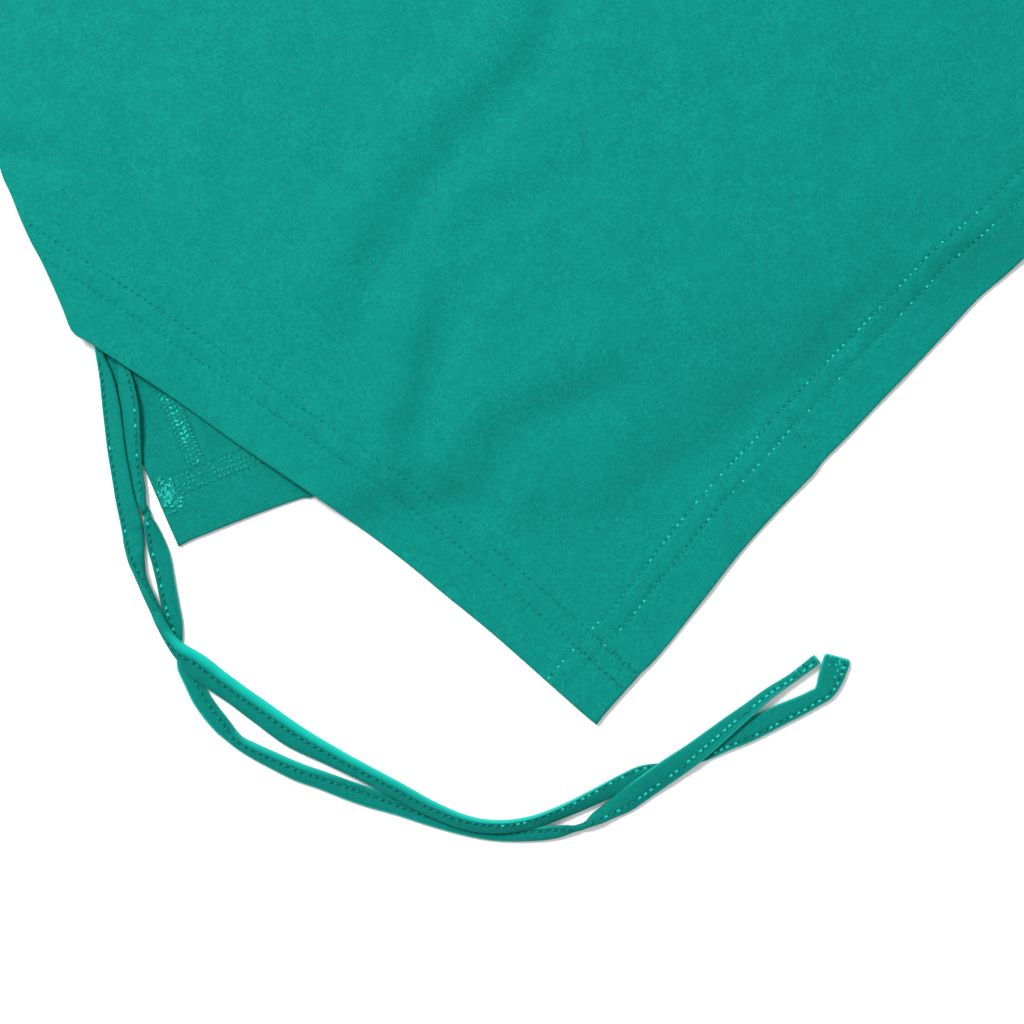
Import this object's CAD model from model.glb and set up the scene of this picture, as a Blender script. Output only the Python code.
import math
import random

import bpy
import numpy as np
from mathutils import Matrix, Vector
from mathutils.geometry import delaunay_2d_cdt


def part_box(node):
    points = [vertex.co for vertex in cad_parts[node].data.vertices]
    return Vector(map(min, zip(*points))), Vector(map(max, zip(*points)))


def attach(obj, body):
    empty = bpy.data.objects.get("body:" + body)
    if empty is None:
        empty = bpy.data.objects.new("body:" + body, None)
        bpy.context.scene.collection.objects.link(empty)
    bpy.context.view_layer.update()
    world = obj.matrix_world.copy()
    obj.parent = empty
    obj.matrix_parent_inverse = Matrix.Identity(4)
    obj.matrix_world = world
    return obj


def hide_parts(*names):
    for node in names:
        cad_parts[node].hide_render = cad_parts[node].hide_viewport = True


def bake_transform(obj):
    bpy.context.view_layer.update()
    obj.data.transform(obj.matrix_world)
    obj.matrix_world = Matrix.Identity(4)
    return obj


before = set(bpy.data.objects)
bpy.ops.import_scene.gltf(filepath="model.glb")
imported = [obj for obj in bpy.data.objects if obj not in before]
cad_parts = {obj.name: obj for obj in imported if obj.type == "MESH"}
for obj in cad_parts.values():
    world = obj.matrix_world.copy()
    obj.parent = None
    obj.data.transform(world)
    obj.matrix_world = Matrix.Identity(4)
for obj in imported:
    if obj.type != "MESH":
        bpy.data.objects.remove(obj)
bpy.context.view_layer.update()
random.seed(11)

# The gown is worked out in millimetres from the lower corner of the left back panel, as it was cut,
# and turned into metres in the row frame when a mesh is made.
CORNER = (97.4, -101.3)
ORIGIN = np.array([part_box("left_back_panel")[0].x,
                   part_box("right_back_corner")[0].y - CORNER[1] / 1000, 0.0])
LAY_ANGLE = math.radians(23)          # how far the gown is turned in the view


def to_row(points):
    return np.asarray(points, float) / 1000 + ORIGIN


def row_point(x, y, z=0.0):
    return Vector(to_row((x, y, z)))


# ---------------------------------------------------------------- camera

VIEW_CENTRE = (99.0, -30.2)
VIEW_WIDTH = 317.0
CAMERA_HEIGHT = 760.0

camera_data = bpy.data.cameras.new("overhead_camera")
camera_data.lens = camera_data.sensor_width * (CAMERA_HEIGHT - 3) / VIEW_WIDTH
camera = bpy.data.objects.new("overhead_camera", camera_data)
camera.location = row_point(*VIEW_CENTRE, CAMERA_HEIGHT)
camera.rotation_euler = (0, 0, -LAY_ANGLE)
bpy.context.scene.collection.objects.link(camera)
bpy.context.scene.camera = camera


# ---------------------------------------------------------------- curves and meshes

def smooth(low, high, x):
    t = np.clip((np.asarray(x, float) - low) / (high - low), 0, 1)
    return t * t * (3 - 2 * t)


def through(points, step=1.5):
    """A smooth curve through the given points, resampled evenly."""
    p = np.array(points, float)
    ends = np.vstack([2 * p[0] - p[1], p, 2 * p[-1] - p[-2]])
    out = []
    for a, b, c, d in zip(ends, ends[1:], ends[2:], ends[3:]):
        t = np.linspace(0, 1, 24, endpoint=False)[:, None]
        out.append(0.5 * (2 * b + (c - a) * t + (2 * a - 5 * b + 4 * c - d) * t ** 2
                          + (3 * b - a - 3 * c + d) * t ** 3))
    return even(np.vstack(out + [p[-1:]]), step)


def even(line, step):
    line = np.asarray(line, float)
    run = np.r_[0, np.cumsum(np.linalg.norm(np.diff(line, axis=0), axis=1))]
    count = max(2, int(round(run[-1] / step)) + 1)
    at = np.linspace(0, run[-1], count)
    return np.stack([np.interp(at, run, line[:, k]) for k in range(line.shape[1])], axis=1)


def straight(a, b, step=3.0):
    return even([a, b], step)


def bow(a, pull, b, step=3.0):
    t = np.linspace(0, 1, 60)[:, None]
    curve = (1 - t) ** 2 * np.array(a) + 2 * t * (1 - t) * np.array(pull) + t ** 2 * np.array(b)
    return even(curve, step)


def ring(*lines):
    """Joins edges end to end into one closed outline."""
    return np.vstack([line[:-1] for line in lines])


def measure(points, line):
    """Distance to a line, and how far along it the nearest place is."""
    points = np.asarray(points, float)[:, :2]
    a, b = line[:-1, :2], line[1:, :2]
    span = b - a
    length = np.linalg.norm(span, axis=1)
    run = np.r_[0, np.cumsum(length)]
    best = np.full(len(points), 1e9)
    along = np.zeros(len(points))
    for k in range(len(a)):
        t = np.clip((points - a[k]) @ span[k] / length[k] ** 2, 0, 1)
        gap = np.linalg.norm(points - a[k] - t[:, None] * span[k], axis=1)
        nearer = gap < best
        best[nearer] = gap[nearer]
        along[nearer] = (run[k] + t * length[k])[nearer]
    return best, along


def inside(points, outline):
    x, y = points[:, 0], points[:, 1]
    hit = np.zeros(len(points), bool)
    for (x0, y0), (x1, y1) in zip(outline, np.roll(outline, -1, axis=0)):
        if y0 == y1:
            continue
        crosses = (y0 > y) != (y1 > y)
        hit ^= crosses & (x < (x1 - x0) * (y - y0) / (y1 - y0) + x0)
    return hit


def make_object(name, points, faces, smooth_faces=True):
    mesh = bpy.data.meshes.new(name)
    mesh.from_pydata(to_row(points).tolist(), [], [tuple(map(int, f)) for f in faces])
    mesh.update()
    if smooth_faces:
        mesh.shade_smooth()
    piece = bpy.data.objects.new(name, mesh)
    bpy.context.scene.collection.objects.link(piece)
    return piece


def add_uv(piece, name, values):
    """One pair of numbers for each vertex, kept as a UV map."""
    mesh = piece.data
    layer = mesh.uv_layers.new(name=name)
    loops = np.zeros(len(mesh.loops), np.int32)
    mesh.loops.foreach_get("vertex_index", loops)
    layer.data.foreach_set("uv", np.asarray(values, np.float32)[loops].ravel())


EDGE_ROWS = (0.12, 0.35, 0.7, 1.2, 2.2)


def sheet_plan(outline, spacing, rows=(), fine=None):
    """Points and triangles of a flat sheet: rows parallel to its edges, and a staggered grid between."""
    low, high = outline.min(axis=0), outline.max(axis=0)
    closed = np.vstack([outline, outline[:1]])
    grids = [spacing_grid(low, high, spacing)]
    if fine is not None:
        region, fine_spacing = fine
        grids = [grids[0][~inside(grids[0], region)],
                 spacing_grid(region.min(axis=0), region.max(axis=0), fine_spacing)]
        grids[1] = grids[1][inside(grids[1], region)]
    grid = np.vstack(grids)
    grid = grid[inside(grid, outline)]
    gap, _ = measure(grid, closed)
    keep = gap > EDGE_ROWS[-1] + 0.8
    for line, offsets in rows:
        to_line, _ = measure(grid, line)
        for offset in offsets:
            keep &= abs(to_line - offset) > 0.55
    grid = grid[keep]
    tangent = np.roll(outline, -1, axis=0) - np.roll(outline, 1, axis=0)
    normal = np.stack([-tangent[:, 1], tangent[:, 0]], axis=1)
    normal /= np.linalg.norm(normal, axis=1)[:, None]
    if not inside(outline[:1] + normal[:1] * 0.3, outline)[0]:
        normal = -normal
    strips = []
    for offset in EDGE_ROWS:
        strip = outline + normal * offset
        near, _ = measure(strip, closed)
        strips.append(strip[inside(strip, outline) & (near > offset * 0.97)])
    for line, offsets in rows:
        for offset in offsets:
            strip = offset_line(line, offset)
            within = inside(strip, outline)
            strip = strip[within]
            near, _ = measure(strip, closed)
            strips.append(strip[near > EDGE_ROWS[-1] + 0.5])
    points = np.vstack([outline] + strips + [grid])
    _, order = np.unique(np.round(points, 2), axis=0, return_index=True)
    points = points[np.sort(order)]
    count = len(outline)
    verts, _, faces, _, _, _ = delaunay_2d_cdt(
        [Vector(p) for p in points], [], [list(range(count))], 1, 1e-5)
    flat = np.array([(v.x, v.y) for v in verts])
    faces = np.array(faces, int)
    a, b, c = flat[faces[:, 0]], flat[faces[:, 1]], flat[faces[:, 2]]
    turned = (b - a)[:, 0] * (c - a)[:, 1] - (b - a)[:, 1] * (c - a)[:, 0] < 0
    faces[turned] = faces[turned][:, ::-1]
    return flat, faces


def spacing_grid(low, high, spacing):
    columns = np.arange(low[0], high[0], spacing)
    rows = np.arange(low[1], high[1], spacing * 0.87)
    x, y = np.meshgrid(columns, rows)
    x = x + (np.arange(len(rows)) % 2)[:, None] * spacing / 2
    return np.stack([x.ravel(), y.ravel()], axis=1)


def offset_line(line, offset, side=1):
    tangent = np.gradient(line[:, :2], axis=0)
    normal = np.stack([-tangent[:, 1], tangent[:, 0]], axis=1)
    normal /= np.linalg.norm(normal, axis=1)[:, None]
    return line[:, :2] + normal * offset * side


def cloth_sheet(name, outline, surface, spacing, rows=(), fine=None):
    """A closed sheet of cloth with rounded edges.

    surface(points) gives its middle height and half thickness.
    """
    flat, faces = sheet_plan(outline, spacing, rows, fine)
    gap, _ = measure(flat, np.vstack([outline, outline[:1]]))
    middle, half = surface(flat)
    rounding = np.sqrt(1 - (1 - np.clip(gap / half, 0, 1)) ** 2)
    rim = gap < 0.02
    top = np.column_stack([flat, middle + half * rounding])
    bottom = np.column_stack([flat, middle - half * rounding])
    count = len(flat)
    lower = np.arange(count) + count
    lower[rim] = np.flatnonzero(rim)
    points = np.vstack([top, bottom])
    under = lower[faces][:, ::-1]
    everything = np.vstack([faces, under])
    used = np.unique(everything)
    new_index = np.full(len(points), -1)
    new_index[used] = np.arange(len(used))
    piece = make_object(name, points[used], new_index[everything])
    return piece, points[used]


# ---------------------------------------------------------------- shader maths

class Socket:
    """A shader socket that adds its Math nodes when it is used in an expression."""

    def __init__(self, shader, output):
        self.shader = shader
        self.output = output

    def maths(self, operation, *others, swap=False):
        values = [self, *others]
        if swap:
            values.reverse()
        return self.shader.node("ShaderNodeMath", {"operation": operation}, dict(enumerate(values)))

    def __add__(self, other): return self.maths("ADD", other)
    def __radd__(self, other): return self.maths("ADD", other)
    def __sub__(self, other): return self.maths("SUBTRACT", other)
    def __rsub__(self, other): return self.maths("SUBTRACT", other, swap=True)
    def __mul__(self, other): return self.maths("MULTIPLY", other)
    def __rmul__(self, other): return self.maths("MULTIPLY", other)
    def __truediv__(self, other): return self.maths("DIVIDE", other)
    def __pow__(self, other): return self.maths("POWER", other)
    def fraction(self): return self.maths("FRACT")
    def most(self, other): return self.maths("MAXIMUM", other)
    def size(self): return self.maths("ABSOLUTE")

    def step(self, low, high, low_out=0.0, high_out=1.0):
        return self.shader.node(
            "ShaderNodeMapRange", {"interpolation_type": "SMOOTHSTEP", "clamp": True},
            {"Value": self, "From Min": low, "From Max": high, "To Min": low_out, "To Max": high_out})


class Shader:
    def __init__(self, name):
        self.material = bpy.data.materials.new(name)
        self.material.use_nodes = True
        self.tree = self.material.node_tree
        self.surface = self.tree.nodes["Principled BSDF"]

    def node(self, kind, settings=None, inputs=None, output=0):
        made = self.tree.nodes.new(kind)
        for key, value in (settings or {}).items():
            setattr(made, key, value)
        for key, value in (inputs or {}).items():
            self.plug(made.inputs[key], value)
        return Socket(self, made.outputs[output])

    def plug(self, target, value):
        if isinstance(value, Socket):
            self.tree.links.new(value.output, target)
        else:
            target.default_value = value

    def set(self, name, value):
        self.plug(self.surface.inputs[name], value)

    def mix(self, factor, a, b):
        made = self.tree.nodes.new("ShaderNodeMix")
        made.data_type = "RGBA"
        self.plug(made.inputs["Factor"], factor)
        self.plug(made.inputs["A"], a)
        self.plug(made.inputs["B"], b)
        return Socket(self, made.outputs["Result"])

    def object_place(self):
        return self.node("ShaderNodeTexCoord", output="Object")

    def uv(self, name):
        place = self.node("ShaderNodeUVMap", {"uv_map": name})
        across = self.node("ShaderNodeSeparateXYZ", inputs={0: place}, output="X")
        up = self.node("ShaderNodeSeparateXYZ", inputs={0: place}, output="Y")
        return across, up

    def noise(self, place, scale, detail=2.0, rough=0.5):
        return self.node("ShaderNodeTexNoise", inputs={
            "Vector": place, "Scale": scale, "Detail": detail, "Roughness": rough}, output="Fac")

    def stretched(self, place, scales, turn=0.0):
        return self.node("ShaderNodeMapping", inputs={
            "Vector": place, "Scale": scales, "Rotation": (0.0, 0.0, turn)})


def colour(red, green, blue):
    """Screen colour, 0 to 255, as the linear colour that a shader uses."""
    linear = [((c / 255 + 0.055) / 1.055) ** 2.4 if c > 10 else c / 255 / 12.92
              for c in (red, green, blue)]
    return (*linear, 1.0)


STITCH = 2.3                          # length of one stitch, mm
OUTER_ROW = 14.2                      # needle rows, from the hem's edge
INNER_ROW = 20.5
BAND_TURN = 20                        # radians of a band texture in one unit, at a scale of 1
UPRIGHT_BAND = 0.00078                # cloth in one radian of a band, m: the bands are 4.9 mm apart
LEVEL_BAND = 0.0006                   # the same for the other direction: 3.8 mm apart
HOLE_COLOUR = (3, 66, 60)
NAP_TINT = (0.2, 1.0, 0.92, 1.0)
TEAL = (9, 118, 108)
TEAL_SHADE = (7, 104, 94)
TEAL_LIGHT = (14, 132, 122)


def needle_holes(shader, uv_name, rows, pitch=STITCH, reach=0.62):
    """Where the needle holes lie along the rows of one hem: 1 in a hole, 0 away from it."""
    along, across = shader.uv(uv_name)
    step = ((along / pitch).fraction() - 0.5) * pitch
    dark = None
    for row in rows:
        gap = across - row
        far = (step * step + gap * gap) ** 0.5
        hole = far.step(0.18, reach, 1.0, 0.0)
        dark = hole if dark is None else dark.most(hole)
    return dark


def jersey(name, hems=(), wrong_side=False, turn=0.0, shade=1.0, hole_depth=(0.5, 0.5)):
    """Cotton single jersey: faint bands both ways, heathered yarn, and a soft matt nap."""
    shader = Shader(name)
    place = shader.object_place()
    fibre = shader.noise(shader.stretched(place, (1.0, 0.55, 1.0), turn), 2300, 3.0, 0.65)
    fleck = shader.noise(place, 900, 2.0, 0.6)
    patch = shader.noise(place, 42, 3.0, 0.5)
    shader_colours = [tuple(c * shade for c in tone) for tone in (TEAL_SHADE, TEAL, TEAL_LIGHT)]
    heather = (fibre * 0.62 + fleck * 0.38).step(0.33, 0.67)
    base = shader.mix(heather, colour(*shader_colours[0]), colour(*shader_colours[2]))
    cloud = shader.noise(place, 230, 2.0, 0.55)
    base = shader.mix(patch.step(0.3, 0.7, 0.1, 0.4), base, colour(*shader_colours[1]))
    base = shader.mix(cloud.step(0.35, 0.72, 0.0, 0.3), base, colour(*shader_colours[0]))
    turned = shader.stretched(place, (1.0, 1.0, 1.0), turn)
    upright_bands = shader.node("ShaderNodeTexWave", {"wave_type": "BANDS", "bands_direction": "X"}, {
        "Vector": turned, "Scale": 1 / (BAND_TURN * UPRIGHT_BAND),
        "Distortion": 1.2, "Detail": 1.0}, output="Fac")
    level_bands = shader.node("ShaderNodeTexWave", {"wave_type": "BANDS", "bands_direction": "Y"}, {
        "Vector": turned, "Scale": 1 / (BAND_TURN * LEVEL_BAND),
        "Distortion": 1.0, "Detail": 1.0}, output="Fac")
    upright_share, level_share = (0.3, 0.8) if wrong_side else (0.7, 0.3)
    relief = upright_bands * upright_share + level_bands * level_share
    height = relief * 0.35 + fibre * 0.45 + fleck * 0.35
    for (uv_name, rows), depth in zip(hems, hole_depth):
        holes = needle_holes(shader, uv_name, rows) * patch.step(0.3, 0.62, 0.35, 1.0)
        base = shader.mix(holes * depth, base, colour(*HOLE_COLOUR))
        height = height - holes * (2.4 * depth)
    normal = shader.node("ShaderNodeBump", inputs={
        "Height": height, "Strength": 0.55, "Distance": 0.00012}, output="Normal")
    shader.set("Base Color", base)
    shader.set("Roughness", fleck.step(0.2, 0.8, 0.82, 0.95))
    shader.set("Normal", normal)
    shader.set("Specular IOR Level", 0.1)
    shader.set("Specular Tint", NAP_TINT)
    shader.set("Sheen Weight", 0.12)
    shader.set("Sheen Roughness", 0.45)
    shader.set("Sheen Tint", (0.12, 0.95, 0.88, 1.0))
    return shader.material


def thread(name, tone, dark_tone):
    """Spun sewing thread with a fine twist."""
    shader = Shader(name)
    place = shader.object_place()
    twist = shader.noise(place, 3600, 2.0, 0.6)
    shader.set("Base Color", shader.mix(twist.step(0.3, 0.7), colour(*dark_tone), colour(*tone)))
    shader.set("Roughness", twist.step(0.2, 0.8, 0.5, 0.75))
    shader.set("Normal", shader.node("ShaderNodeBump", inputs={
        "Height": twist, "Strength": 0.4, "Distance": 0.00008}, output="Normal"))
    shader.set("Specular IOR Level", 0.25)
    shader.set("Specular Tint", (0.3, 1.0, 0.93, 1.0))
    shader.set("Sheen Weight", 0.15)
    shader.set("Sheen Tint", (0.2, 1.0, 0.92, 1.0))
    return shader.material


# ---------------------------------------------------------------- stitches

def stitch_shape(length, width, height, sides=6):
    """One short raised stitch along X: a low bead that dives into the cloth at both ends."""
    stations = np.array([-0.5, -0.36, 0.0, 0.36, 0.5]) * length
    girth = np.array([0.35, 0.9, 1.0, 0.9, 0.35])
    lift = np.array([-0.55, 0.05, 0.3, 0.05, -0.55]) * height
    angle = np.arange(sides) / sides * 2 * math.pi
    points = []
    for x, g, z in zip(stations, girth, lift):
        for a in angle:
            points.append((x, math.cos(a) * width / 2 * g, z + math.sin(a) * height / 2 * g))
    faces = [tuple(range(sides))[::-1]]
    for k in range(len(stations) - 1):
        for j in range(sides):
            n = (j + 1) % sides
            faces.append((k * sides + j, k * sides + n, (k + 1) * sides + n, (k + 1) * sides + j))
    faces.append(tuple(range((len(stations) - 1) * sides, len(stations) * sides)))
    return np.array(points), faces


def lay_stitches(name, spots, top, length=1.55, width=0.5, height=0.42):
    """Copies one stitch to every spot (x, y, heading), on the surface that top(points) gives."""
    shape, shape_faces = stitch_shape(1.0, 1.0, 1.0)
    points, faces = [], []
    spots = list(spots)
    centre = top(np.array([(s[0], s[1]) for s in spots]))
    for (x, y, heading), z in zip(spots, centre):
        turn = heading + random.uniform(-0.12, 0.12)
        scale = random.uniform(0.85, 1.12)
        body = shape * (length * scale, width, height)
        ahead = np.array([math.cos(turn), math.sin(turn)])
        left = np.array([-ahead[1], ahead[0]])
        placed = np.column_stack([
            np.array([x, y]) + body[:, :1] * ahead + body[:, 1:2] * left, body[:, 2] + z])
        base = len(points) * len(shape)
        faces += [tuple(base + i for i in f) for f in shape_faces]
        points.append(placed)
    return make_object(name, np.vstack(points), faces)


def spots_along(line, pitch=STITCH, start=0.0, stop=None, phase=0.5):
    """Evenly spaced places along a line, as (x, y, heading)."""
    run = np.r_[0, np.cumsum(np.linalg.norm(np.diff(line, axis=0), axis=1))]
    stop = run[-1] if stop is None else stop
    at = (np.arange(math.ceil(start / pitch), math.floor(stop / pitch)) + phase) * pitch
    ahead = np.gradient(line, axis=0)
    x, y = np.interp(at, run, line[:, 0]), np.interp(at, run, line[:, 1])
    dx, dy = np.interp(at, run, ahead[:, 0]), np.interp(at, run, ahead[:, 1])
    return [(a, b, math.atan2(d, c)) for a, b, c, d in zip(x, y, dx, dy)]


def join_parts(name, parts):
    points, faces, base = [], [], 0
    for part_points, part_faces in parts:
        points.append(part_points)
        faces += [tuple(base + i for i in f) for f in part_faces]
        base += len(part_points)
    return make_object(name, np.vstack(points), faces)


# ---------------------------------------------------------------- ties

FLOOR = 0.1                           # clearance of the cloth over the floor
TIE_STITCH = 2.4
TIE_PITCH = 0.7                       # between the rings of a tie's mesh

# At each station: the stitched edge (x, y), the other edge (x, y), the height of what the tie lies on,
# how much higher the stitched edge is than the other, and the thickness there.
RIGHT_TIE = [
    (42.1, 173.1, 47.9, 170.9, 2.3, 0, 1.1), (33.1, 149.1, 38.9, 146.9, 2.3, 0, 1.1),
    (23.1, 126.2, 28.9, 123.8, 2.3, 0, 1.1), (13.2, 102.1, 18.8, 99.9, 2.3, 0, 1.1),
    (5.8, 82, 11.2, 80, 2.2, 0, 1.1), (1.7, 73, 6.2, 71.6, 1.8, 0, 1.3),
    (-0.4, 66.5, 2.0, 65.6, 1.5, -0.4, 1.5), (-2.4, 58.6, 1.7, 57.2, 1.3, -0.8, 1.5),
    (-5.1, 50, 0.3, 48.4, 0.9, -1.6, 1.5), (-7.3, 42.8, -1.7, 41.1, 0.5, -1.8, 1.5),
    (-9.4, 35.7, -3.7, 34.2, 0.2, -1.9, 1.5), (-11.2, 28.3, -5.3, 27.2, 0.1, -1.9, 1.5),
    (-13, 21, -6.8, 19.7, 0.1, -1.8, 1.5), (-14.5, 13.5, -7.7, 12.4, 0.1, -0.9, 1.6),
    (-16, 6.4, -9.5, 6.1, 0.1, 1.2, 1.7), (-16.4, 0.9, -11.4, 1.6, 0.2, 2.6, 2.2),
    (-15.9, -5, -13.6, -5.2, 0.3, 3, 3), (-15.3, -11.9, -13.9, -11.7, 0.8, 3, 3.5),
    (-13.4, -20, -15.2, -20.6, 1.4, 2.8, 3.5), (-10.8, -26.9, -15.1, -28.5, 2, 2.6, 2.6),
    (-5.7, -34, -12.5, -37.5, 1.7, 2.2, 1.8), (-2.3, -40.4, -9.2, -43.9, 1, 2, 1.7),
    (1.5, -47.1, -5, -50.7, 0.4, 1.8, 1.6), (6.3, -54.9, -0.2, -59.2, 0.1, 1.4, 1.6),
    (12.7, -65.3, 6.1, -69.6, 0.1, 1.4, 1.6), (20.1, -75.6, 14.6, -79, 0.3, 1.8, 1.6),
    (26.9, -84.2, 22.4, -87.6, 0.9, 2.2, 1.6), (34.4, -93.4, 30.2, -97, 1.4, 2.4, 1.6),
    (42.3, -103.5, 38.5, -106.9, 1.5, 2.6, 1.6), (50.3, -111.6, 47.2, -115, 1.5, 2.8, 1.7),
    (58.4, -116.4, 56.4, -120.1, 1.4, 2.8, 1.8), (67.4, -119, 67, -123.1, 0.8, 2.8, 1.8),
    (77.2, -119.6, 77.4, -123.9, 0.2, 2.6, 1.8), (87.6, -119, 87.8, -124, 0.1, 2.4, 1.7),
    (97.9, -118.2, 98.4, -123.6, 0.1, 1.2, 1.5), (105, -118.2, 105.8, -123.9, 0.1, 0.5, 1.2),
    (112, -120.4, 112.2, -122.2, 0.1, 0.3, 1.1), (117, -122.9, 117, -120.7, 0.1, 0.2, 1.1),
    (123.2, -124.7, 122.8, -118.5, 0.1, 0.2, 1.1), (131.6, -124.7, 131.8, -117.9, 0.1, 0.3, 1.4),
    (141, -124.8, 141, -117.8, 0.1, 0.2, 1.5),
    (150.7, -124.1, 150.5, -117.4, 0.1, 0.2, 1.5), (158.4, -123.5, 158.6, -117.5, 0.1, 0.2, 1.6),
    (162.8, -122.9, 162.5, -117.3, 0.1, 0.2, 1.7), (167.9, -122.1, 164.4, -117.0, 0.1, 0.3, 1.8),
    (172.4, -119.3, 166.9, -113.7, 0.1, 0.4, 1.8), (176.6, -115.2, 170.4, -109.4, 0.1, 0.2, 1.9),
    (178.1, -113.7, 171.3, -108.3, 0.1, 0.2, 1.6),
]
LEFT_TIE = [
    (7.1, 172.4, 0.9, 171.6, 1.05, 0, 1.05), (11.1, 141.3, 4.9, 140.7, 1.05, 0, 1.05),
    (14.6, 112.2, 8.4, 111.8, 1.05, 0, 1.05), (15.1, 85.8, 8.9, 86.2, 1.05, 0, 1.05),
    (12, 68, 7, 70, 1.0, 0.3, 1.2), (7.6, 57.1, 4.0, 60, 1, 0.6, 1.2), (7, 52.9, 2.2, 54.8, 1, 2.0, 1.2),
    (5.6, 45.4, -0.4, 47.6, 1.0, 2.2, 1.2), (3.2, 38.4, -2.8, 40.1, 0.8, 2.4, 1.2),
    (0.8, 32.3, -5.1, 33.9, 0.5, 1.8, 1.2), (-1.6, 25.4, -6.9, 26.9, 0.2, 1.2, 1.4),
    (-2.9, 20.4, -7.1, 21.7, 0.1, 1.1, 1.7), (-4.3, 17.0, -6.9, 17.6, 0.1, 1.3, 2.4),
    (-5.1, 14.4, -6.0, 14.2, 0.1, 1.4, 3.0), (-7.4, 11, -4.1, 10.3, 0.15, 1.1, 2.3),
    (-9.5, 3.7, -3.6, 1.9, 0.1, 0.3, 1.6), (-10.2, -1.5, -4.1, -2.6, 0.1, 0.4, 1.6),
    (-10.9, -5.9, -5.1, -6.9, 0.1, 0.4, 1.6), (-11.9, -11, -6.2, -11.5, 0.1, 0.5, 1.6),
    (-12.8, -16, -7.3, -16.4, 0.1, 0.6, 1.6), (-13.2, -21.2, -8.5, -21.6, 0.1, 0.9, 1.5),
    (-13.1, -26.2, -10.6, -26.5, 0.1, 1.4, 1.4),
    (-12.4, -30.8, -14.1, -30.7, 0.1, 1.2, 1.5), (-11.3, -34.6, -15.6, -34.4, 0.1, -0.8, 1.4),
    (-10.2, -39.1, -15.5, -39.7, 0.1, -1.2, 1.5), (-9.3, -46.6, -15, -47.2, 0.1, -1.4, 1.6),
    (-7.3, -54.5, -12.8, -55.5, 0.1, -1.4, 1.7), (-5.4, -61, -9.4, -62.7, 0.2, 0.6, 2.2),
    (-1.8, -65.4, -5.7, -68.3, 0.2, 1.2, 2), (2.8, -70.4, -1.4, -73.8, 0.1, 1.2, 1.8),
    (8.4, -76.3, 4.2, -80.4, 0.1, 1, 1.7), (14.2, -81.6, 10.3, -86, 0.1, 0.8, 1.6),
    (20, -87, 16, -91.7, 0.1, 0.4, 1.5), (25.8, -92.4, 21.8, -97, 0.1, 0, 1.3),
    (32.7, -99.1, 29.1, -102.8, 0.1, 0, 1.3), (39.6, -105.7, 36.2, -109, 0.1, 0, 1.3),
    (47, -112.2, 44, -115.3, 0.1, 0, 1.3), (54.5, -117.4, 52.1, -120.9, 0.1, 0, 1.3),
    (62.1, -121, 60.4, -125, 0.1, 0.2, 1.4), (70.6, -123.9, 69.5, -128.2, 0.1, 1.2, 1.6),
    (76.5, -126.1, 75.6, -129.1, 0.1, 1.5, 1.9), (81, -128.9, 81, -128.2, 0.1, 1.6, 2.2),
    (86, -129.9, 85.2, -126.1, 0.1, 1.1, 1.8), (91, -130, 89.5, -124.9, 0.1, 0.4, 1.6),
    (96.7, -130, 95.2, -123.2, 0.15, -0.5, 1.5), (104.4, -128.5, 102.4, -121.3, 0.3, -1.3, 1.4),
    (113.7, -126.5, 111.7, -119.3, 0.9, -0.6, 1.4), (121.5, -124.7, 120, -117.9, 1.2, 0.3, 1.4),
    (129.7, -122.1, 127.8, -116.2, 1.0, 0.8, 1.4), (137.2, -119.5, 135.6, -114.5, 0.7, 1.3, 1.5),
    (143.1, -117.5, 142.2, -113.2, 0.3, 1.6, 1.7), (151, -114.8, 150.2, -111.4, 0.1, 1.6, 1.8),
    (159.1, -113, 158.5, -110.1, 0.1, 1.0, 1.9), (166.6, -111.3, 165.8, -108.1, 0.1, 0.8, 2),
    (168.9, -110.7, 168.1, -107.4, 0.1, 0.6, 1.7),
]


def spread(stations, count=40):
    """Smooth values between stations, all columns together, without overshoot of the last three."""
    p = np.array(stations, float)
    ends = np.vstack([2 * p[0] - p[1], p, 2 * p[-1] - p[-2]])
    t = np.linspace(0, 1, count, endpoint=False)[:, None]
    out = []
    for a, b, c, d in zip(ends, ends[1:], ends[2:], ends[3:]):
        part = 0.5 * (2 * b + (c - a) * t + (2 * a - 5 * b + 4 * c - d) * t ** 2
                      + (3 * b - a - 3 * c + d) * t ** 3)
        part[:, 4:] = b[4:] + (c[4:] - b[4:]) * t * t * (3 - 2 * t)
        out.append(part)
    return np.vstack(out + [p[-1:]])


def tie_frame(stations):
    """Evenly spaced centres along a tie, with its side and face directions, width and thickness."""
    fine = spread(stations)
    middle = (fine[:, :2] + fine[:, 2:4]) / 2
    run = np.r_[0, np.cumsum(np.linalg.norm(np.diff(middle, axis=0), axis=1))]
    at = np.linspace(0, run[-1], int(run[-1] / TIE_PITCH) + 1)
    fine = np.stack([np.interp(at, run, fine[:, k]) for k in range(fine.shape[1])], axis=1)
    span = np.column_stack([fine[:, :2] - fine[:, 2:4], fine[:, 5]])
    width = np.linalg.norm(span, axis=1)
    side = span / width[:, None]
    middle = (fine[:, :2] + fine[:, 2:4]) / 2
    rough_ahead = np.column_stack([np.gradient(middle, axis=0), np.zeros(len(middle))])
    rough_ahead /= np.linalg.norm(rough_ahead, axis=1)[:, None]
    face = np.cross(side, rough_ahead)
    face /= np.linalg.norm(face, axis=1)[:, None]
    thick = fine[:, 6]
    rise = np.abs(side[:, 2]) * width / 2 + np.abs(face[:, 2]) * thick / 2
    centre = np.column_stack([middle, fine[:, 4] + rise])
    return centre, side, face, width, thick, at


SECTION = np.array([-1, -0.985, -0.93, -0.82, -0.6, -0.3, 0.05, 0.3, 0.45, 0.53, 0.58, 0.63, 0.71,
                    0.82, 0.92, 0.98, 1.0])


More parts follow.
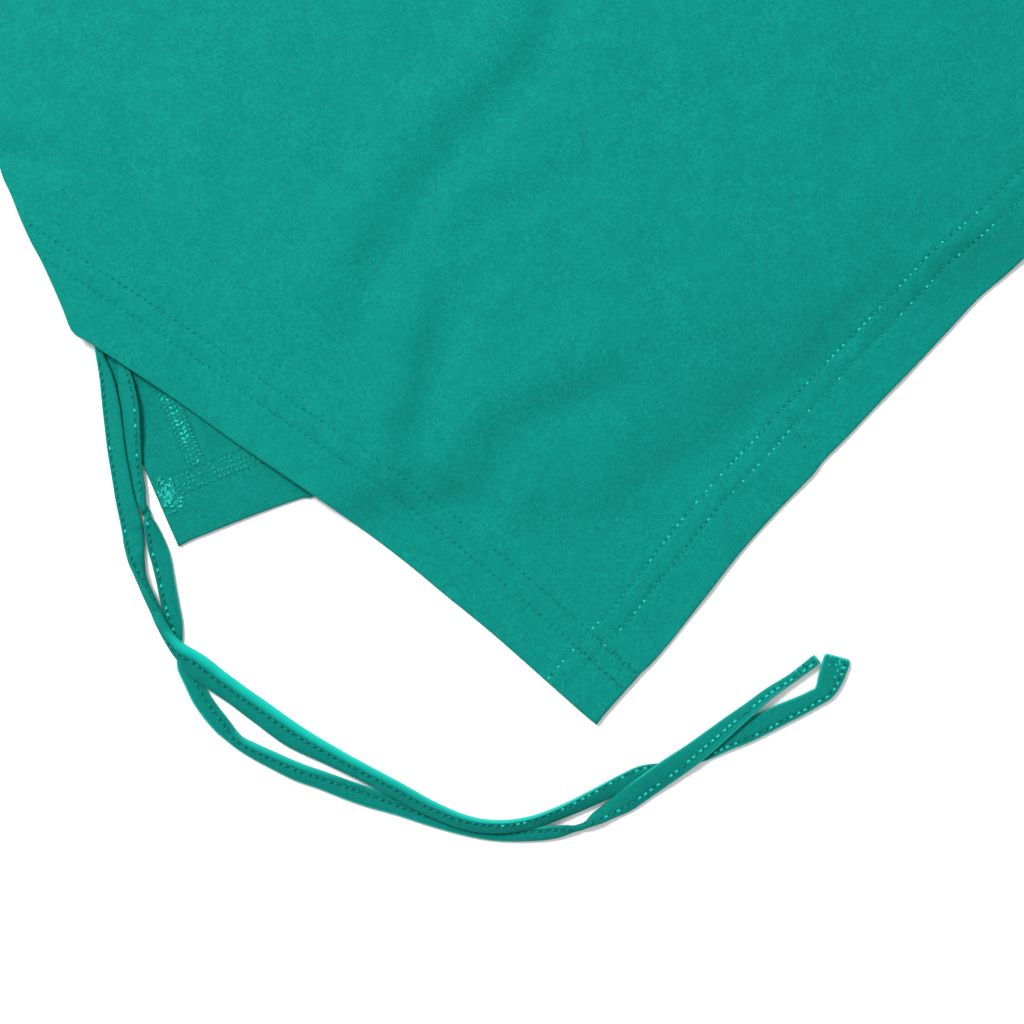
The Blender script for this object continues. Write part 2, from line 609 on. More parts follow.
def tie_section(width, thick, seam_in):
    """Outline of the folded strip: soft folds, and a groove at the stitching."""
    across = SECTION * width / 2
    fullness = 2.2 + 2.6 * smooth(0.55, 0.2, thick / width)
    rim = np.sqrt(np.clip(1 - np.abs(SECTION) ** fullness, 0, 1))
    seam = width / 2 - seam_in * min(1.0, width / 5)
    groove = 0.42 * np.exp(-((across - seam) / 0.34) ** 2) * float(smooth(3.0, 4.5, width))
    top = thick / 2 * rim - groove
    low = -thick / 2 * rim + 0.8 * groove
    upper = np.stack([across, top], axis=1)
    under = np.stack([across[1:-1], low[1:-1]], axis=1)[::-1]
    return np.vstack([upper, under]), seam, float(np.interp(seam, across, top))


def along_tie(run, plan):
    """A value that changes along a tie: plan is a list of (distance from the root, value)."""
    return np.interp(run, [p[0] for p in plan], [p[1] for p in plan])


def make_tie(name, stations, node, seam_plan, rub_plan, stitched_rim, other_rim, lit_plan, tacks):
    centre, side, face, width, thick, run = tie_frame(stations)
    to_end = run[-1] - run
    width = width * (0.84 + 0.16 * smooth(0, 1.4, to_end))
    thick = thick * (0.6 + 0.4 * smooth(0, 1.4, to_end))
    seam_in = along_tie(run, seam_plan)
    count = 2 * len(SECTION) - 2
    rings, seams = [], []
    for c, s, f, w, t, inset in zip(centre, side, face, width, thick, seam_in):
        section, seam, top = tie_section(w, t, inset)
        rings.append(c + section[:, :1] * s + section[:, 1:] * f)
        seams.append((seam, top))
    points = np.array(rings)
    points[..., 2] = np.maximum(points[..., 2], 0.05)
    faces = []
    for k in range(len(centre) - 1):
        for j in range(count):
            n = (j + 1) % count
            faces.append((k * count + j, (k + 1) * count + j, (k + 1) * count + n, k * count + n))
    faces.append(tuple(range(count)))
    faces.append(tuple((len(centre) - 1) * count + j for j in range(count))[::-1])
    piece = make_object(name, points.reshape(-1, 3), faces)
    level = np.concatenate([SECTION, SECTION[1:-1][::-1]])

    def pairs(first, second):
        return np.stack([np.repeat(first, count) if np.ndim(first) == 1 else first.ravel(),
                         np.repeat(second, count) if np.ndim(second) == 1 else second.ravel()], axis=1)

    add_uv(piece, "tie", pairs(run, np.outer(width / 2, 1 - level)))
    add_uv(piece, "margin", pairs(seam_in, np.outer(width / 2, 1 + level)))
    add_uv(piece, "rims", pairs(along_tie(run, stitched_rim), along_tie(run, other_rim)))
    add_uv(piece, "rubbed", pairs(along_tie(run, rub_plan), to_end))
    bright, dim = [], []
    shape, shape_faces = stitch_shape(1.3, 0.85, 0.62)
    for s in np.arange(1.2, run[-1] - 1.2, TIE_STITCH):
        k = int(np.searchsorted(run, s))
        if width[k] < 3.0 or abs(side[k, 2]) > 0.6:
            continue
        ahead = centre[min(k + 1, len(centre) - 1)] - centre[k - 1]
        ahead /= np.linalg.norm(ahead)
        lit = along_tie(run[k], lit_plan)
        for facing in (1, -1):
            spot = centre[k] + side[k] * seams[k][0] + face[k] * facing * (seams[k][1] + 0.14)
            placed = (spot + shape[:, :1] * ahead + shape[:, 1:2] * side[k] * facing
                      + shape[:, 2:] * face[k] * facing)
            placed[:, 2] = np.maximum(placed[:, 2], 0.02)
            (bright if random.random() < lit else dim).append((placed, shape_faces))
    tack_shape = shape * (0.75, 0.75, 0.75)
    for _ in range(tacks):
        k = int(np.searchsorted(run, run[-1] - random.uniform(0.9, 8.5)))
        at, turn = random.uniform(-0.34, 0.34) * width[k], random.uniform(0, 3.14)
        ahead = np.cross(face[k], side[k])
        along, across = (math.cos(turn) * ahead + math.sin(turn) * side[k],
                         math.cos(turn) * side[k] - math.sin(turn) * ahead)
        spot = centre[k] + side[k] * at + face[k] * (thick[k] / 2 * 0.96)
        (bright if random.random() < 0.5 else dim).append(
            (spot + tack_shape[:, :1] * along + tack_shape[:, 1:2] * across
             + tack_shape[:, 2:] * face[k], shape_faces))
    sewing = join_parts(name + "_topstitching", bright)
    sewing.data.materials.append(bright_thread)
    dim_sewing = join_parts(name + "_sunken_stitches", dim)
    dim_sewing.data.materials.append(hem_thread)
    piece.data.materials.append(tie_jersey)
    for part in (piece, sewing, dim_sewing):
        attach(part, "folded_gown")
    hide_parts(node)


def tie_cloth(name):
    """Jersey strip seen close: the same yarn, lighter where the folds are rubbed."""
    shader = Shader(name)
    place = shader.object_place()
    along, across = shader.uv("tie")
    seam_in, from_other = shader.uv("margin")
    stitched_rim, other_rim = shader.uv("rims")
    rub, to_end = shader.uv("rubbed")
    fibre = shader.noise(place, 2300, 3.0, 0.65)
    fleck = shader.noise(place, 900, 2.0, 0.6)
    heather = (fibre * 0.6 + fleck * 0.4).step(0.3, 0.7)
    base = shader.mix(heather, colour(6, 101, 92), colour(11, 119, 109))
    base = shader.mix((across / seam_in).step(1.05, 0.15) * rub, base, colour(16, 172, 157))
    rim = (across.step(0.65, 0.2) * stitched_rim).most(from_other.step(0.65, 0.2) * other_rim)
    rim = rim.most(to_end.step(0.9, 0.3) * 0.8)
    base = shader.mix(rim, base, colour(46, 180, 166))
    gap = across - seam_in
    step = ((along - 1.2) / TIE_STITCH + 0.5).fraction() * TIE_STITCH
    hole = ((step * step + gap * gap) ** 0.5).step(0.2, 0.65, 1.0, 0.0)
    line = (gap + 0.55).size().step(0.45, 0.1)
    base = shader.mix(hole.most(line * 0.35) * 0.75, base, colour(2, 60, 54))
    shader.set("Base Color", base)
    shader.set("Roughness", fleck.step(0.2, 0.8, 0.75, 0.9))
    shader.set("Normal", shader.node("ShaderNodeBump", inputs={
        "Height": fibre * 0.5 + fleck * 0.5 - hole, "Strength": 0.5, "Distance": 0.00012},
        output="Normal"))
    shader.set("Specular IOR Level", 0.12)
    shader.set("Specular Tint", NAP_TINT)
    shader.set("Sheen Weight", 0.25)
    shader.set("Sheen Roughness", 0.35)
    shader.set("Sheen Tint", (0.12, 0.95, 0.86, 1.0))
    return shader.material


bright_thread = thread("bright_thread", (42, 190, 175), (13, 149, 136))
mid_thread = thread("mid_thread", (18, 146, 133), (7, 116, 106))
hem_thread = thread("hem_thread", (10, 122, 112), (3, 92, 84))
tie_jersey = tie_cloth("tie_jersey")
# Along each tie, by distance from its root: how far in its stitching is, how rubbed its stitched margin
# is, how light its stitched edge and its other edge are, and what share of its stitches is bright.
make_tie("left_back_tie", LEFT_TIE, "left_tie",
         [(0, 1.35), (206, 1.35), (216, 2.0), (250, 2.5), (300, 2.2), (330, 1.5), (358, 1.35), (368, 2.0),
          (384, 2.1), (394, 2.7), (412, 2.3), (430, 1.5)],
         [(0, 0), (236, 0), (244, 0.55), (262, 0.5), (275, 0), (386, 0), (400, 0.15), (430, 0.1)],
         [(0, 0), (206, 0), (216, 0.4), (338, 0.4), (346, 0), (366, 0), (376, 0.45)],
         [(0, 0), (164, 0), (176, 0.35), (200, 0.35), (208, 0.6), (300, 0.6), (340, 0), (366, 0),
          (376, 0.35)],
         [(0, 0.2), (150, 0.2), (180, 0.45), (206, 0.4), (220, 0), (350, 0), (368, 0.75),
          (440, 0.95)], 7)
make_tie("right_back_tie", RIGHT_TIE, "right_tie",
         [(0, 1.25), (200, 1.35), (212, 3.8), (240, 3.6), (264, 3.1), (304, 2.7), (324, 1.6), (360, 1.0),
          (395, 1.3)],
         [(0, 0), (204, 0), (214, 1.0), (262, 0.9), (300, 0.55), (325, 0.8), (345, 0.5), (372, 0.1)],
         [(0, 0.6), (166, 0.6), (176, 0), (212, 0), (222, 0.5), (372, 0.5), (380, 0), (392, 0),
          (400, 0.4)],
         [(0, 0), (205, 0), (230, 0.1), (330, 0.3), (370, 0), (400, 0.15), (430, 0.5)],
         [(0, 0.2), (190, 0.2), (204, 0), (320, 0), (345, 0.5), (395, 0.75), (440, 0.85)], 16)


# ---------------------------------------------------------------- the folded panels

SINGLE = 0.38                         # half the thickness of one layer
HEMMED = 0.62                         # half the thickness of a hem
FOLD_FRONT_X = 50.0
FOLD_BACK_X = -5.0
UNDERARM = (325, 560)
SHOULDER = (270, 790)
NECK_CUT = (141, 824)
LEFT_SIDE_LOW = (385, 25)
RIGHT_SIDE_LOW = (405, 38)

shoulder_edge = straight(NECK_CUT, SHOULDER)
armhole_edge = straight(SHOULDER, UNDERARM)
neck_back = bow((0, 800), (70, 799), NECK_CUT)


def side_edge(low):
    return bow(UNDERARM, (low[0] - 42, 300), low)


def hem_profile(gap, rows):
    """How far a hem is turned (0 to 1), and the grooves that its two needle rows pull."""
    turned = smooth(INNER_ROW + 5.0, INNER_ROW - 1.0, gap)
    grooves = sum(0.26 * np.exp(-((gap - row) / 0.5) ** 2) for row in rows)
    tunnel = 0.12 * np.exp(-((gap - (rows[0] + rows[1]) / 2) / 2.0) ** 2)
    return turned, grooves - tunnel


def folds(points, lines):
    """Height of soft ridges and valleys along the given lines."""
    height = np.zeros(len(points))
    for line, width, rise in lines:
        curve = through(line, 3.0)
        gap, along = measure(points, curve)
        length = np.linalg.norm(np.diff(curve, axis=0), axis=1).sum()
        fade = smooth(0, 0.22, along / length) * smooth(1.0, 0.72, along / length)
        height += rise * fade * np.exp(-(gap / width) ** 2)
    return height


def crumple(points, waves=34, steepness=0.013):
    """Gentle unevenness of relaxed knit: low waves in every direction."""
    draw = random.Random(5)
    height = np.zeros(len(points))
    for _ in range(waves):
        length = draw.uniform(7, 34)
        heading = draw.uniform(0, math.pi)
        run = points[:, 0] * math.cos(heading) + points[:, 1] * math.sin(heading)
        turns = run / length * 2 * math.pi + draw.uniform(0, 6.3)
        height += steepness * length / (2 * math.pi) * np.sin(turns)
    return height


# Right back panel

opening_edge = through([CORNER, (95.3, -97.4), (90.4, -87.2), (84, -73.7), (77.4, -60.1), (70.1, -46.3),
                        (62.9, -32.4), (54.8, -18.2), (45.8, -3.6), (29.8, 21.0), (15.6, 44.0), (1, 66.3)])
opening_line = np.vstack([opening_edge, straight((1, 66.3), (-45, 135))[1:]])
right_hem = through([CORNER, (100.6, -99.4), (107.3, -96.2), (114.1, -93.0), (116.6, -91.8), (119.8, -90.7),
                     (124, -88.8), (130.8, -85.3), (144.9, -77.5), (159, -69.7), (172.5, -63.3),
                     (185.6, -57.7), (190.2, -55.7), (194.7, -53.2), (205.6, -48.7), (218.9, -42.9),
                     (232, -37.4), (245.3, -31.5), (258.6, -25.6), (275, -20.2), (320, -2), (365, 19),
                     RIGHT_SIDE_LOW])
left_fold = through([(1, 66.3), (-1.2, 69.6), (-3.9, 72.8), (-4.5, 76), (-4.1, 84), (-4.3, 91),
                     (-4.5, 98), (-5.1, 104), (-5.3, 112), (-5.1, 120), (-5.3, 126), (-4.7, 131.5),
                     (-3.6, 135), (-4.6, 140), (-5.2, 160), (-5, 200), (-5, 400), (-5, 600),
                     (-3.5, 700), (0, 800)], 2.5)
right_back_outline = ring(right_hem, side_edge(RIGHT_SIDE_LOW)[::-1], armhole_edge[::-1],
                          shoulder_edge[::-1], neck_back[::-1], left_fold[::-1], opening_edge[::-1])

# Folds of the right back panel: a line, its half width, and its height (a valley is negative).
MAIN_FOLDS = [
    ([(202, 140), (165, 118), (149, 103), (119, 92), (96, 79), (75, 63), (58, 43), (48, 26)], 9.0, 1.4),
    ([(208, 129), (175, 109), (159, 93), (130, 81), (107, 66), (85, 50), (70, 32), (61, 18)], 6.5, -1.15),
    ([(156, 67), (128, 68), (104, 60)], 5.0, 0.4),
    ([(160, 57), (134, 58), (111, 51)], 5.0, -0.45),
    ([(103, 49), (84, 24), (66, 1)], 7.0, 1.05),
    ([(114, 44), (95, 20), (78, -4), (66, -22)], 6.0, -1.3),
    ([(156, 4), (134, 7), (107, 7), (93, -4), (80, -11)], 8.0, 1.15),
    ([(156, -10), (133, -8), (111, -8), (101, -17), (88, -25), (68, -34)], 6.8, -1.15),
    ([(90, -6), (74, -4), (60, 8)], 6.5, 0.7),
    ([(84, -26), (66, -19), (50, -7)], 6.0, -0.85),
    ([(150, -24), (118, -25), (94, -27)], 6.5, 0.5),
    ([(150, 60), (120, 40), (98, 18)], 9.0, -0.35),
    ([(-6, 147), (6, 140), (16, 128)], 3.6, 1.3),
    ([(-7, 137), (2, 130), (12, 119)], 3.2, -1.3),
    ([(-4, 124), (6, 118), (14, 112)], 3.5, 0.4),
    ([(36, 70), (34, 52), (30, 36)], 3.5, -0.4),
    ([(176, -46), (198, -27), (221, -14), (251, -4)], 4.5, -0.3),
    ([(60, 100), (40, 118), (30, 150)], 9.0, 0.6),
    ([(74, -52), (84, -44), (98, -42)], 4.0, -0.3),
    ([(92, -84), (104, -74), (120, -70)], 3.5, -0.3),
    ([(330, 130), (250, 160), (180, 210)], 14.0, -1.4),
    ([(60, 330), (130, 300), (220, 330)], 12.0, -1.2),
    ([(300, 520), (240, 470), (160, 450)], 13.0, -1.4),
    ([(120, 640), (180, 600), (250, 600)], 12.0, -1.1),
    ([(70, 760), (110, 700), (120, 640)], 9.0, -0.9),
]
HEM_JOIN = np.array([(190.9, -33.5), (191.8, -42.0), (193.5, -53.5)])


def stack_height(points):
    """Underside of the right back panel over everything that lies beneath it."""
    x, y = points[:, 0], points[:, 1]
    beside = np.maximum(smooth(48, 12, measure(points, opening_line)[0]),
                        smooth(50, 10, measure(points, right_hem)[0]) * smooth(310, 260, x))
    fronts = np.minimum((y + 6) * np.where(y < -6, 1 + 1.2 * beside, 1), x - 44)
    margin = (y - 66 - np.maximum(x - 2, 0) * 2.16) / 2.4
    low_end = -58 + 18 * beside
    high = 0.12 + 4.65 * np.maximum(smooth(low_end, 24, fronts), smooth(-58, 24, margin))
    over_left_panel = smooth(-3, 2, x) * smooth(-4, 2, y)
    return np.maximum(high, 0.12 + 1.15 * over_left_panel)


def right_back_surface(points):
    opening_gap, _ = measure(points, opening_line)
    hem_gap, _ = measure(points, right_hem)
    join_gap, _ = measure(points, HEM_JOIN)
    clear = smooth(INNER_ROW + 0.5, INNER_ROW + 3.5, hem_gap)
    open_turned, open_grooves = hem_profile(opening_gap, (OUTER_ROW, INNER_ROW))
    low_turned, low_grooves = hem_profile(hem_gap, (OUTER_ROW, INNER_ROW))
    half = SINGLE + (HEMMED - SINGLE) * np.maximum(open_turned, low_turned)
    half = half + 0.18 * open_turned * low_turned
    groove = open_grooves * clear + low_grooves
    groove = groove + 0.3 * np.exp(-(join_gap / 0.7) ** 2)
    wave = 0.12 * np.sin(points[:, 0] / 11.0 + points[:, 1] / 17.0) * smooth(16, 2, hem_gap)
    wave += 0.18 * np.sin(points[:, 1] / 9.0) * smooth(14, 2, opening_gap)
    under = stack_height(points)
    middle = under + half + folds(points, MAIN_FOLDS) + wave * 0.6 \
        + crumple(points) * smooth(-4, 30, opening_gap) + 0.08 \
        + 0.22 * smooth(0.2, 1.2, under) + 0.35 * smooth(4, 34, np.minimum(opening_gap, hem_gap))
    floor = half + FLOOR
    middle = floor + np.logaddexp((middle - floor) * 4, 0) / 4
    return middle - groove * 0.5, np.maximum(half - groove * 0.5, 0.12)


def right_back_top(points):
    middle, half = right_back_surface(np.asarray(points, float))
    return middle + half


HEM_OFFSETS = (12.6, 13.4, 13.9, 14.5, 15.1, 16.2, 18.4, 19.7, 20.2, 20.8, 21.4, 22.6)
view_region = np.array([(-8, 190), (320, 60), (290, -40), (100, -110), (-8, 60)], float)
right_back, right_back_points = cloth_sheet(
    "right_back", right_back_outline, right_back_surface, 6.5,
    rows=((opening_line[:: -1], HEM_OFFSETS), (right_hem, HEM_OFFSETS)),
    fine=(view_region, 3.2))
opening_gap, opening_along = measure(right_back_points, opening_line)
hem_gap, hem_along = measure(right_back_points, right_hem)
between_rows = (OUTER_ROW + INNER_ROW) / 2
hem_across = np.where((hem_along < 20) & (hem_gap < between_rows), between_rows, hem_gap)
add_uv(right_back, "opening_hem", np.stack([opening_along, opening_gap], axis=1))
add_uv(right_back, "bottom_hem", np.stack([hem_along, hem_across], axis=1))
right_back.data.materials.append(jersey(
    "right_back_jersey", (("opening_hem", (OUTER_ROW, INNER_ROW)), ("bottom_hem", (OUTER_ROW, INNER_ROW))),
    hole_depth=(0.42, 0.6)))

main_spots, dim_spots, bunch = [], [], []
for offset in (OUTER_ROW, INNER_ROW):
    for spot in spots_along(offset_line(opening_line, offset, -1)):
        place = np.array([spot[:2]])
        gap = measure(place, right_hem)[0][0]
        if gap > INNER_ROW + 0.6 and spot[0] > FOLD_BACK_X + 0.9:
            if random.random() < 0.3:
                bunch.append(spot)
        elif 1.5 < gap < INNER_ROW and spot[0] > FOLD_BACK_X + 0.9:
            bunch += [(spot[0] + random.uniform(-0.7, 0.7), spot[1] + random.uniform(-0.7, 0.7),
                       random.uniform(0, 3.14)) for _ in range(2)]
    for number, spot in enumerate(spots_along(offset_line(right_hem, offset))):
        place = np.array([spot[:2]])
        if not inside(place, right_back_outline)[0] or spot[0] > 398:
            continue
        if measure(place, opening_edge)[0][0] < 1.0 or (offset == OUTER_ROW and number < 9):
            continue
        share = 0.4 + 0.3 * math.sin(number / 6.0 + offset * 1.3 + 1.1)
        (main_spots if random.random() < share else dim_spots).append(spot)
join_stitches = [(189.4 + 1.2 * t, -36 - 12 * t, -1.45) for t in np.linspace(0.05, 0.9, 4)]
right_sewing = lay_stitches("right_back_bright_stitches", main_spots, right_back_top,
                            1.1, 0.8, 0.6)
right_sewing.data.materials.append(bright_thread)
right_dim = lay_stitches("right_back_stitches", dim_spots, right_back_top, 1.0, 0.66, 0.56)
right_dim.data.materials.append(mid_thread)
right_bunch = lay_stitches("right_back_bunched_stitches", bunch + join_stitches, right_back_top,
                           1.1, 0.6, 0.5)
right_bunch.data.materials.append(hem_thread)

# Turned-under margin of the right back panel

margin_edge = through([(2, 72), (45, 165), (62, 240), (66, 330), (52, 440), (28, 550), (-3, 640)], 3.0)
margin_outline = ring(margin_edge, straight((-3, 640), (-4.4, 76)), straight((-4.4, 76), (2, 72)))


def margin_surface(points):
    half = SINGLE + (HEMMED - SINGLE) * smooth(22, 20, measure(points, margin_edge)[0])
    middle = np.full(len(points), 3.85)
    return middle + 0.5 * smooth(4, 0, points[:, 0] - FOLD_BACK_X), half * 0.8


right_margin, _ = cloth_sheet("right_back_margin", margin_outline, margin_surface, 9.0)
right_margin.data.materials.append(jersey("right_back_margin_jersey", wrong_side=True))

for piece in (right_back, right_margin, right_sewing, right_dim, right_bunch):
    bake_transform(piece)
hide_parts("right_back_panel", "right_back_corner")

# Left back panel, wrong side up

LEFT_ROWS = (12.6, 18.4)

left_opening = through([(0, 800), (0, 500), (0, 250), (-0.3, 90), (-0.7, 30), (-0.7, 12), (-0.6, 4),
                       (-0.5, 0.3)])
left_hem = through([(-0.5, 0.3), (4, 0.7), (10, 0.6), (25, 0.2), (40, -0.7), (46, -2), (80, -4),
                    (180, -2), (290, 9), LEFT_SIDE_LOW])
left_back_outline = ring(left_opening, left_hem, side_edge(LEFT_SIDE_LOW)[::-1],
                         armhole_edge[::-1], shoulder_edge[::-1], neck_back[::-1])


def left_back_surface(points):
    opening_gap, _ = measure(points, left_opening)
    hem_gap, _ = measure(points, left_hem)
    turned = np.maximum(smooth(22.4, 20.8, opening_gap), smooth(22.4, 20.8, hem_gap))
    half = SINGLE + 0.2 * turned
    rows = 0.0
    for gap, pair in ((opening_gap, LEFT_ROWS), (hem_gap, (OUTER_ROW, INNER_ROW))):
        rows = rows + sum(0.16 * np.exp(-((gap - row) / 0.5) ** 2) for row in pair)
    middle = 0.06 + half + 0.25 * smooth(12, 0, np.minimum(opening_gap, hem_gap)) \
        * (0.5 + 0.5 * np.sin(points[:, 0] / 8.0))
    return middle - rows * 0.4, np.maximum(half - rows * 0.4, 0.15)


def left_back_top(points):
    middle, half = left_back_surface(np.asarray(points, float))
    return middle + half


corner_region = np.array([(-2, 70), (70, 70), (70, -6), (-2, -6)], float)
left_back, left_back_points = cloth_sheet(
    "left_back", left_back_outline, left_back_surface, 9.0,
    rows=((left_opening[-80:], HEM_OFFSETS), (left_hem[:60], HEM_OFFSETS)),
    fine=(corner_region, 2.6))
left_opening_gap, left_along = measure(left_back_points, left_opening)
left_hem_gap, left_hem_along = measure(left_back_points, left_hem)
left_across = np.where(left_hem_gap < INNER_ROW + 1, 30.0, left_opening_gap)
add_uv(left_back, "opening_hem", np.stack([left_along, left_across], axis=1))
add_uv(left_back, "bottom_hem", np.stack([left_hem_along, left_hem_gap], axis=1))
left_back.data.materials.append(jersey(
    "left_back_jersey", (("opening_hem", LEFT_ROWS), ("bottom_hem", (OUTER_ROW, INNER_ROW))),
    wrong_side=True, shade=0.95, hole_depth=(0.3, 0.3)))


def looper_band(line, side, rows, start, stop, kept, lit_from, lit_to):
    """The looper thread of a coverstitch: short slanting flecks between the two needle rows."""
    near, far = offset_line(line, rows[0], side), offset_line(line, rows[1], side)
    run = np.r_[0, np.cumsum(np.linalg.norm(np.diff(near, axis=0), axis=1))]
    plain, lit = [], []
    for s in np.arange(start, stop, STITCH * 0.62):
        for level, slant in ((0.12, 0.7), (0.38, -0.6), (0.62, 0.75), (0.88, -0.6)):
            at = s + random.uniform(-0.25, 0.25) + level
            a = np.array([np.interp(at, run, near[:, k]) for k in (0, 1)])
            b = np.array([np.interp(at, run, far[:, k]) for k in (0, 1)])
            place, over = a + (b - a) * level, b - a
            heading = math.atan2(over[1], over[0]) + slant
            if random.random() < kept:
                bright = lit_from < s < lit_to and 0.2 < level < 0.8 and random.random() < 0.6
                (lit if bright or random.random() < 0.05 else plain).append((*place, heading))
    loops = spots_along(near, start=start, stop=stop) + spots_along(far, start=start, stop=stop)
    return plain, lit, loops


upright_plain, upright_lit, upright_loops = looper_band(
    left_opening[::-1], -1, LEFT_ROWS, 21, 70, 0.9, 29, 42)
level_plain, level_lit, level_loops = looper_band(
    left_hem, 1, (OUTER_ROW, INNER_ROW), 9, 62, 0.5, 0, 0)


def looper_top(points):
    return left_back_top(points) - 0.08


def backtack_top(points):
    return left_back_top(points) + 0.08


loopers = lay_stitches("left_back_looper_thread", upright_plain + level_plain, looper_top, 1.5, 0.72, 0.6)
loopers.data.materials.append(mid_thread)
bright_loopers = lay_stitches("left_back_bright_looper_thread", upright_lit + level_lit, looper_top,
                              1.6, 0.8, 0.65)
bright_loopers.data.materials.append(bright_thread)
row_loops = lay_stitches("left_back_needle_loops", upright_loops + level_loops, left_back_top, 1.0, 0.5, 0.4)
row_loops.data.materials.append(hem_thread)
cluster = [(random.gauss(3.0, 2.0), random.gauss(16.4, 2.9), random.uniform(0, 3.14)) for _ in range(150)]
cluster = [c for c in cluster if 0.2 < c[0] < 10 and 10.5 < c[1] < 22.5]
backtack = lay_stitches("left_back_backtack", cluster[::4], backtack_top, 1.2, 0.75, 0.6)
backtack.data.materials.append(bright_thread)
other_tacks = [c for k, c in enumerate(cluster) if k % 4]
backtack_shade = lay_stitches("left_back_backtack_shade", other_tacks, left_back_top, 1.25, 0.8, 0.62)
backtack_shade.data.materials.append(mid_thread)
faint = [(8.8 + 1.9 * k, 8.2 - 2.6 * k + random.uniform(-0.5, 0.5), 0.4) for k in range(3)]
faint_marks = lay_stitches("left_back_stray_stitches", faint, left_back_top, 1.2, 0.4, 0.3)
faint_marks.data.materials.append(hem_thread)
left_threads = [loopers, bright_loopers, row_loops, backtack, backtack_shade, faint_marks]

# Front panel, folded at the centre

front_neck = bow((FOLD_FRONT_X, 742), (132, 744), NECK_CUT)


def front_half(name, low, fold_low, level):
    hem = bow((FOLD_FRONT_X, fold_low), (210, fold_low - 6), low)
    outline = ring(hem, side_edge(low)[::-1], armhole_edge[::-1], shoulder_edge[::-1], front_neck[::-1],
                   straight((FOLD_FRONT_X, 742), (FOLD_FRONT_X, fold_low)))

    def surface(points):
        gap, _ = measure(points, hem)
        half = SINGLE + 0.12 * smooth(22, 20, gap)
        towards = 0.3 if level < 2 else -0.3
        return level + towards * smooth(3, 0, points[:, 0] - FOLD_FRONT_X), half
    return cloth_sheet(name, outline, surface, 12.0)[0]


front_left = front_half("front_left_half", LEFT_SIDE_LOW, 1, 1.62)
front_right = front_half("front_right_half", RIGHT_SIDE_LOW, 4, 2.78)
for piece in (front_left, front_right):
    piece.data.materials.append(jersey(piece.name + "_jersey"))

# Sleeves: flattened tubes with open cuffs

CUFF_TOP = (431, 735)
CUFF_LOW = (385, 548)


def make_sleeve(name, low_z, high_z):
    """A tube between the armhole and the cuff, pressed flat, with the cuff's hem turned in."""
    stations = np.r_[0, np.linspace(0.02, 0.97, 26), 0.985, 0.995, 1.0]
    around = np.linspace(0, 2 * math.pi, 96, endpoint=False)
    outer, inner = [], []
    for t in stations:
        top = np.array(SHOULDER) * (1 - t) + np.array(CUFF_TOP) * t
        low = np.array(UNDERARM) * (1 - t) + np.array(CUFF_LOW) * t
        middle, reach = (top + low) / 2, (top - low) / 2
        hem = 0.25 * smooth(0.86, 0.88, t)
        for ring_points, wall in ((outer, 0.0), (inner, 0.7)):
            length = np.linalg.norm(reach)
            x = np.sign(np.cos(around)) * np.abs(np.cos(around)) ** 0.8
            flatness = np.sqrt(np.clip(1 - np.abs(x) ** 14, 0, 1))
            puff = 0.25 * np.sin(t * 9 + x * 4) * (1 - x ** 2)
            half_height = (high_z - low_z) / 2 + hem * 0.5
            z = (low_z + high_z) / 2 + np.sign(np.sin(around)) * np.maximum(
                flatness * half_height - wall, 0.12) + np.where(np.sin(around) > 0, puff * 0.6, 0)
            across = x * (1 - (wall + 0.02) / length)
            xy = middle + across[:, None] * reach
            edge = 0.0 if 0 < t < 1 else 0.2
            z = np.clip(z, low_z + wall * 0.2 + edge * 0.5, None)
            ring_points.append(np.column_stack([xy, z]))
    count = len(around)
    rings = outer + inner[::-1]
    points = np.vstack(rings)
    faces = []
    for k in range(len(rings)):
        m = (k + 1) % len(rings)
        for j in range(count):
            n = (j + 1) % count
            faces.append((k * count + j, k * count + n, m * count + n, m * count + j))
    piece = make_object(name, points, faces)
    cuff = np.linalg.norm(np.array(CUFF_TOP) - SHOULDER)
    along = np.concatenate([np.full(count, (1 - t) * cuff) for t in (*stations, *stations[::-1])])
    seat = np.concatenate([r @ np.array([-0.24, -0.97, 0.0]) for r in rings])
    add_uv(piece, "cuff", np.stack([seat, along], axis=1))
    piece.data.materials.append(jersey(name + "_jersey", (("cuff", (OUTER_ROW, INNER_ROW)),), turn=0.34))
    return piece


left_sleeve = make_sleeve("left_sleeve_cloth", 0.08, 2.1)
right_sleeve = make_sleeve("right_sleeve_cloth", 3.5, 5.7)
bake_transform(right_sleeve)
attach(left_sleeve, "folded_gown")
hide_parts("left_sleeve")
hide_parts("right_sleeve")

# Neck binding


def binding_strip(outer, inner, level, name):
    outline = ring(outer, straight(outer[-1], inner[-1], 1.5), inner[::-1], straight(inner[0], outer[0], 1.5))

    def surface(points):
        gap, _ = measure(points, inner)
        seam = 0.2 * np.exp(-((gap - 1.4) / 0.5) ** 2)
        return np.full(len(points), level) - seam * 0.3, np.full(len(points), 0.55) - seam
    return cloth_sheet(name, outline, surface, 4.0)[0]


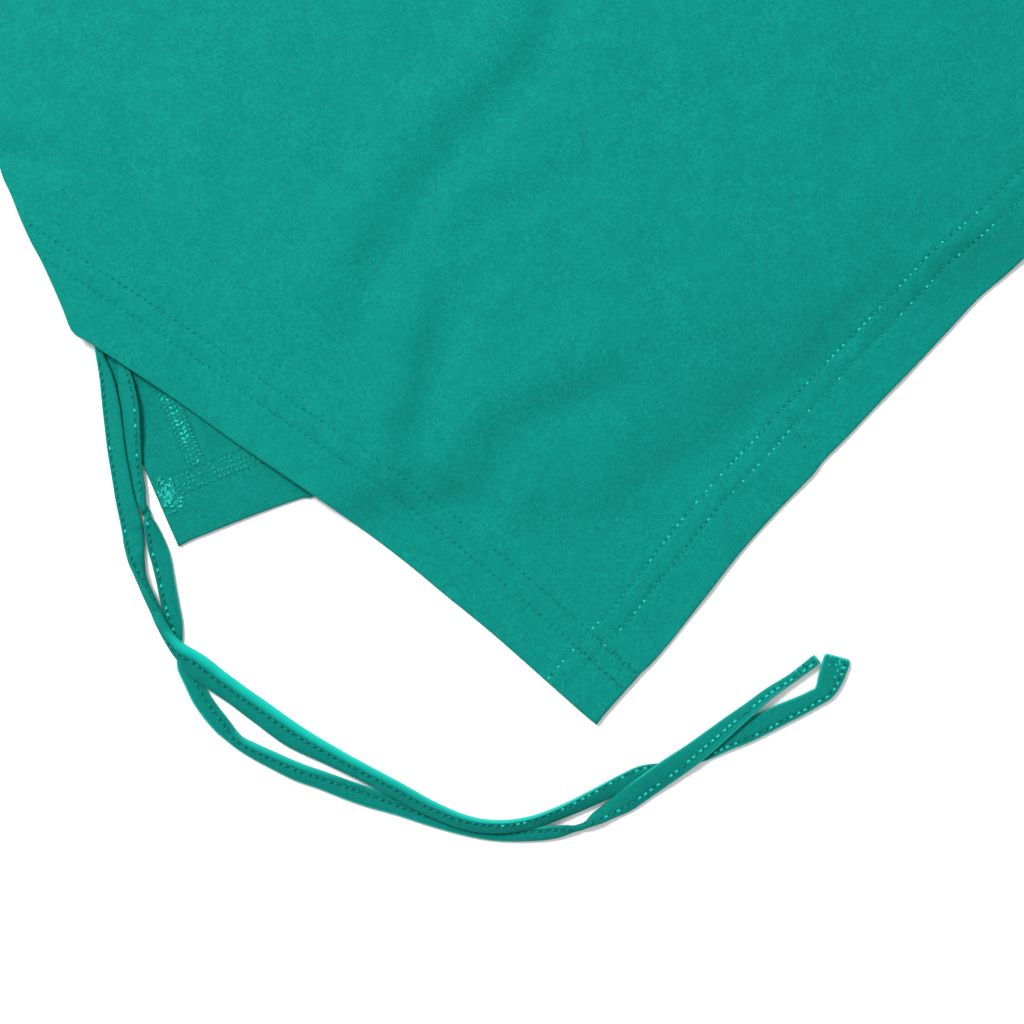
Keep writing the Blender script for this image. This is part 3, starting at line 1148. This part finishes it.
NECK_SIDE = (130, 835)
back_inner = bow((0, 800.4), (70, 799.4), (140.6, 824.4), 2.0)
back_outer = bow((0, 811), (66, 811), NECK_SIDE, 2.0)
front_inner = bow((FOLD_FRONT_X, 742.4), (131.6, 744.4), (140.6, 824.4), 2.0)
front_outer = bow((FOLD_FRONT_X, 753), (122, 757), NECK_SIDE, 2.0)
bindings = [
    binding_strip(back_outer, back_inner, 0.62, "neck_binding_left_back"),
    binding_strip(front_outer, front_inner, 1.72, "neck_binding_left_front"),
    binding_strip(front_outer, front_inner, 2.85, "neck_binding_right_front"),
    binding_strip(back_outer, back_inner, 5.25, "neck_binding_right_back"),
]
binding_jersey = jersey("binding_jersey")
for piece, below in zip(bindings, ("floor", "left_back_panel", "front_panel", "left_back_panel")):
    piece.data.materials.append(binding_jersey)
    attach(piece, "folded_gown")
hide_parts("neck_binding")

for piece in (left_back, front_left, front_right, *left_threads):
    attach(piece, "folded_gown")
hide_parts("left_back_panel")
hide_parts("front_panel")


# ---------------------------------------------------------------- floor and light

floor_shader = Shader("pale_floor")
floor_shader.set("Base Color", (0.93, 0.93, 0.935, 1.0))
floor_shader.set("Roughness", 0.9)
floor_shader.set("Specular IOR Level", 0.1)
floor_points = np.array([(-4000, -4000, 0), (4000, -4000, 0), (4000, 4000, 0), (-4000, 4000, 0)], float)
floor = make_object("floor", floor_points, [(0, 1, 2, 3)], False)
floor.data.materials.append(floor_shader.material)


def soft_light(name, place, aim, size, power):
    data = bpy.data.lights.new(name, "AREA")
    data.size = size
    data.energy = power
    lamp = bpy.data.objects.new(name, data)
    lamp.location = row_point(*place)
    lamp.rotation_euler = (row_point(*aim) - lamp.location).to_track_quat("-Z", "Y").to_euler()
    bpy.context.scene.collection.objects.link(lamp)


soft_light("key_light", (-250, 1100, 1300), (120, 60, 0), 0.55, 39)
world = bpy.data.worlds.new("studio")
world.use_nodes = True
world.node_tree.nodes["Background"].inputs["Color"].default_value = (1.0, 1.0, 1.0, 1.0)
world.node_tree.nodes["Background"].inputs["Strength"].default_value = 0.72
bpy.context.scene.world = world
bpy.context.scene.view_settings.view_transform = "Standard"
